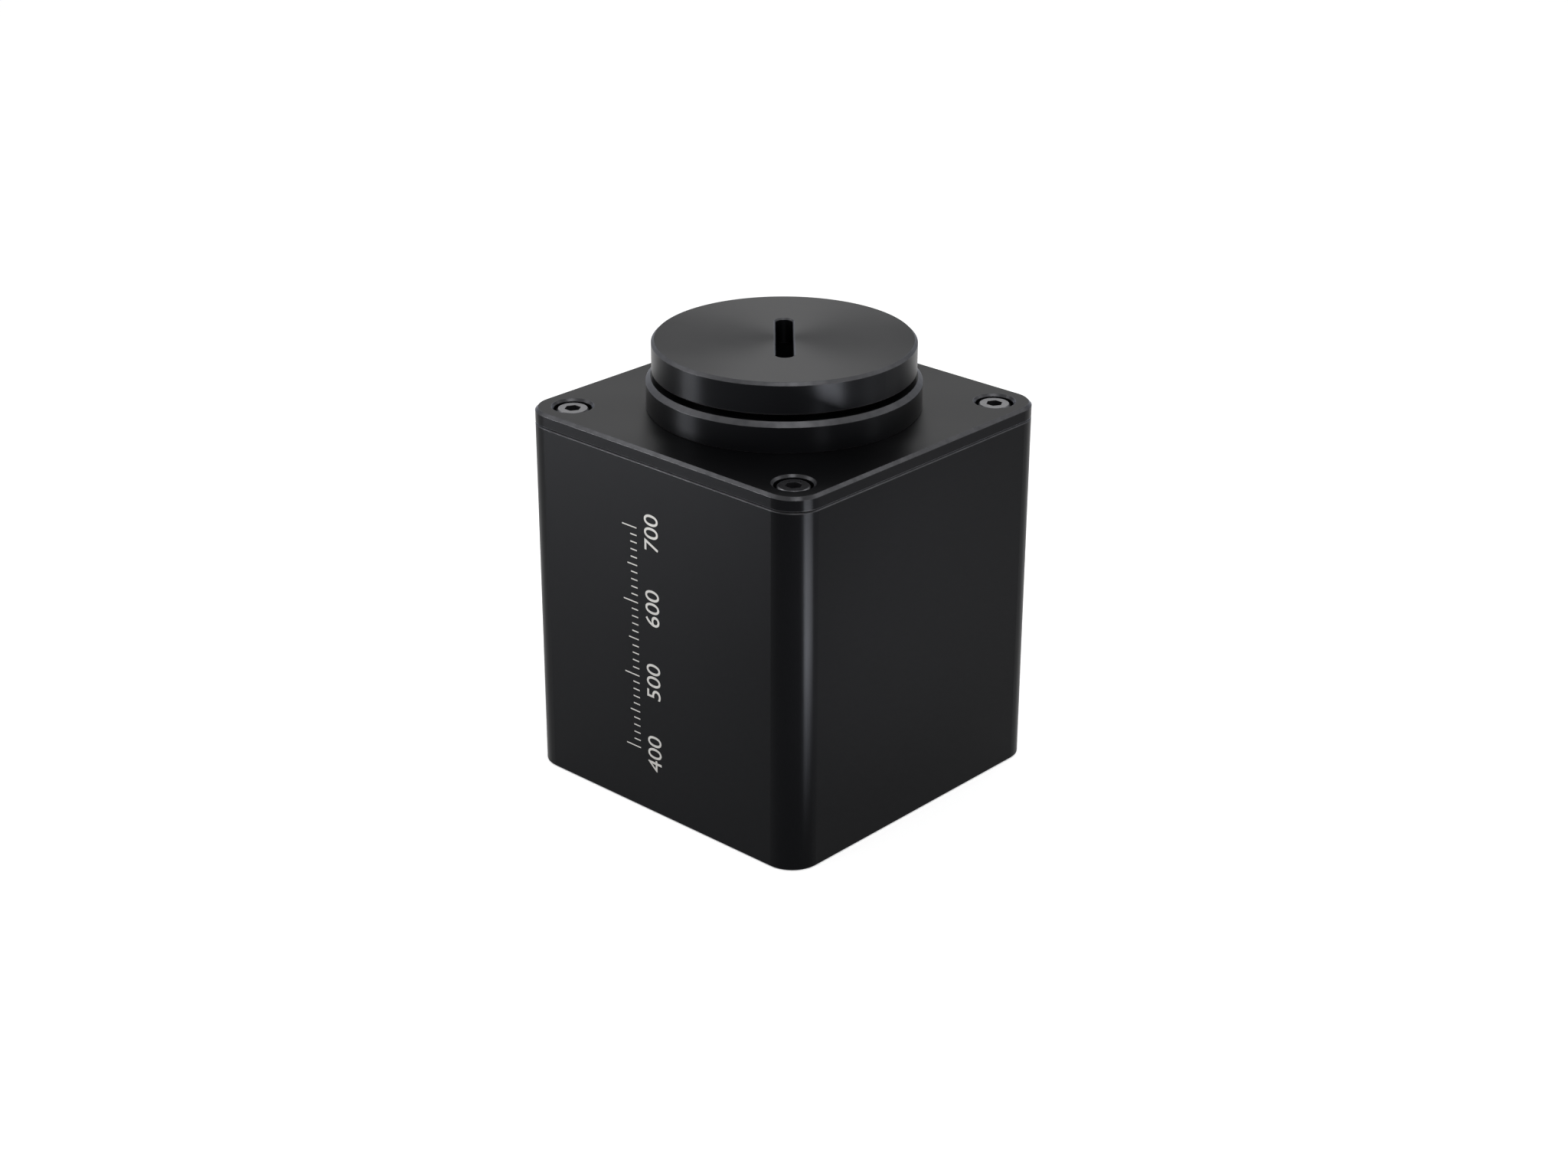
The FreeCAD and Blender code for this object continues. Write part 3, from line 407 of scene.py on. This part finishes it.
def add_contacts():
    """Both rows of contacts, each a little proud of the tongue and a little sunk into it."""
    low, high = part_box("usb_tongue")
    middle_x = (low[0] + high[0]) / 2
    middle_z = (low[2] + high[2]) / 2
    start = high[1] - contact_start
    builder = bmesh.new()
    for side in (-1, 1):
        inner = middle_z + side * (tongue_thickness / 2 - contact_thickness / 2)
        outer = middle_z + side * (tongue_thickness / 2 + contact_thickness)
        for n in range(contact_count):
            x = middle_x + (n - (contact_count - 1) / 2) * contact_pitch
            end = start + (long_contact_length if n in long_contacts else contact_length)
            low_corner = (x - contact_width / 2, start, min(inner, outer))
            high_corner = (x + contact_width / 2, end, max(inner, outer))
            add_block(builder, low_corner, high_corner)
    gold = plain("contact_gold", (0.83, 0.6, 0.25), 0.25, metallic=1.0, grain=print_grain)
    piece = finish_piece("usb_contacts", builder, gold)


def thread_radius(turns, z):
    """The threaded wall's radius: a helix of flattened grooves with a tapered mouth."""
    share = turns % 1.0
    slope = 2.0 * min(share, 1.0 - share)
    depth = (slope - thread_flat) / (1.0 - 2.0 * thread_flat)
    depth = min(1.0, max(0.0, depth))
    wall = thread_minor_radius + (thread_major_radius - thread_minor_radius) * depth
    return max(wall, mouth_radius - z)


def add_tripod_bush(steel):
    """The flanged bush with its threaded bore, one profile after another round its axis."""
    outside = [
        (bush_radius, 0.0), (bush_radius, bush_flange_start),
        (bush_flange_radius, bush_flange_start), (bush_flange_radius, bush_flange_end),
        (bush_radius, bush_flange_end), (bush_radius, bush_length),
    ]
    row_count = round(bush_length / thread_pitch * thread_rows)
    builder = bmesh.new()
    columns = []
    for n in range(thread_columns):
        angle = 2.0 * math.pi * n / thread_columns
        profile = list(outside)
        for row in range(row_count, -1, -1):
            z = bush_length * row / row_count
            profile.append((thread_radius(z / thread_pitch - n / thread_columns, z), z))
        columns.append([builder.verts.new((r * math.cos(angle), r * math.sin(angle), z))
                        for r, z in profile])
    for n, column in enumerate(columns):
        after = columns[(n + 1) % thread_columns]
        for k in range(len(column)):
            following = (k + 1) % len(column)
            builder.faces.new((column[k], after[k], after[following], column[following]))
    piece = finish_piece("tripod_thread_bush", builder, steel)
    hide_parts("tripod_bush")


def add_number(builder, text, place):
    """Plain numerals as a thin slab, turned to read upwards on the front face."""
    curve = bpy.data.curves.new("number", "FONT")
    curve.body = text
    curve.size = number_size
    curve.align_x = "CENTER"
    curve.align_y = "TOP"
    curve.extrude = ink_thickness
    curve.resolution_u = number_curve_steps
    letters = bpy.data.objects.new("number", curve)
    mesh = bpy.data.meshes.new_from_object(letters)
    stood_up = Matrix.Rotation(math.radians(90), 4, "X")
    turned = Matrix.Rotation(math.radians(-90), 4, "Y")
    mesh.transform(Matrix.Translation(place) @ turned @ stood_up)
    builder.from_mesh(mesh)
    bpy.data.objects.remove(letters)
    bpy.data.curves.remove(curve)
    bpy.data.meshes.remove(mesh)


def tick_length(value):
    if value % long_tick_every == 0:
        return long_tick
    if value % middle_tick_every == 0:
        return middle_tick
    return short_tick


def add_scale():
    """The graduated scale, as one thin layer of ink on the front face."""
    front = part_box("housing")[0][1]
    builder = bmesh.new()
    spacing = (scale_end_z - scale_start_z) * scale_step / (scale_last - scale_first)
    count = (scale_last - scale_first) // scale_step
    for n in range(count + 1):
        value = scale_first + n * scale_step
        z = scale_start_z + n * spacing
        low = (scale_base_x - tick_length(value), front - ink_thickness, z - tick_width / 2)
        high = (scale_base_x, front + ink_thickness, z + tick_width / 2)
        add_block(builder, low, high)
        if value % long_tick_every == 0:
            add_number(builder, str(value), (scale_base_x + number_gap, front, z))
    ink = plain("scale_ink", (0.5, 0.49, 0.47), 0.5, grain=print_grain, depth=ink_grain_depth)
    finish_piece("scale_marks", builder, ink)


def add_camera():
    data = bpy.data.cameras.new("camera")
    camera = bpy.data.objects.new("camera", data)
    bpy.context.scene.collection.objects.link(camera)
    data.lens = camera_lens
    data.sensor_width = camera_sensor
    data.clip_start = camera_nearest
    data.clip_end = camera_farthest
    turn = (
        Matrix.Rotation(math.radians(camera_azimuth), 3, "Z")
        @ Matrix.Rotation(math.radians(90.0 - camera_pitch), 3, "X")
        @ Matrix.Rotation(math.radians(camera_roll), 3, "Z")
    )
    camera.rotation_mode = "QUATERNION"
    camera.rotation_quaternion = turn.to_quaternion()
    camera.location = camera_place
    bpy.context.scene.camera = camera


def add_lamp(name, around, distance, height, aim, width, length, beam, watts):
    """A rectangular lamp, placed round the object from the camera's own direction."""
    data = bpy.data.lights.new(name, "AREA")
    data.shape = "RECTANGLE"
    data.size = width
    data.size_y = length
    data.spread = math.radians(beam)
    data.energy = watts
    lamp = bpy.data.objects.new(name, data)
    bpy.context.scene.collection.objects.link(lamp)
    angle = math.atan2(camera_place[1], camera_place[0]) + math.radians(around)
    place = Vector((distance * math.cos(angle), distance * math.sin(angle), height))
    lamp.location = place
    lamp.visible_camera = False
    lamp.rotation_mode = "QUATERNION"
    lamp.rotation_quaternion = (Vector((0, 0, aim)) - place).to_track_quat("-Z", "Y")


def add_floor():
    """A white floor which takes the shadow, and glows where it is seen so that it stays white."""
    mesh = bpy.data.meshes.new("floor")
    signs = ((-1, -1), (1, -1), (1, 1), (-1, 1))
    corners = [(x * floor_reach, y * floor_reach, 0) for x, y in signs]
    mesh.from_pydata(corners, [], [(0, 1, 2, 3)])
    floor = bpy.data.objects.new("floor", mesh)
    floor.location.z = -floor_drop
    bpy.context.scene.collection.objects.link(floor)
    material, n, shader = new_material("floor_white")
    shader.inputs["Base Color"].default_value = (floor_albedo, floor_albedo, floor_albedo, 1.0)
    shader.inputs["Roughness"].default_value = floor_roughness
    shader.inputs["Specular IOR Level"].default_value = 0.0
    shader.inputs["Emission Color"].default_value = white
    glow = n.math("MULTIPLY", n.seen_ray(), floor_glow)
    n.link(glow, shader.inputs["Emission Strength"])
    mesh.materials.append(material)


def add_world():
    """White all round: full strength where it is seen, less where it only lights."""
    world = bpy.data.worlds.new("studio")
    bpy.context.scene.world = world
    world.use_nodes = True
    n = Nodes(world.node_tree)
    background = world.node_tree.nodes["Background"]
    background.inputs["Color"].default_value = white
    strength = n.ramp(n.seen_ray(), 0.0, 1.0, ambient, 1.0)
    n.link(strength, background.inputs["Strength"])


bright_steel = plain("bright_steel", (0.6, 0.6, 0.58), 0.3, metallic=1.0)
paint_case()
paint_metal(bright_steel)
paint_optics()
paint_boards()
add_tripod_bush(bright_steel)
add_contacts()
add_scale()
add_camera()
add_floor()
add_world()
for lamp_name, settings in lamps.items():
    add_lamp(lamp_name, *settings)

bpy.context.scene.view_settings.view_transform = "Standard"
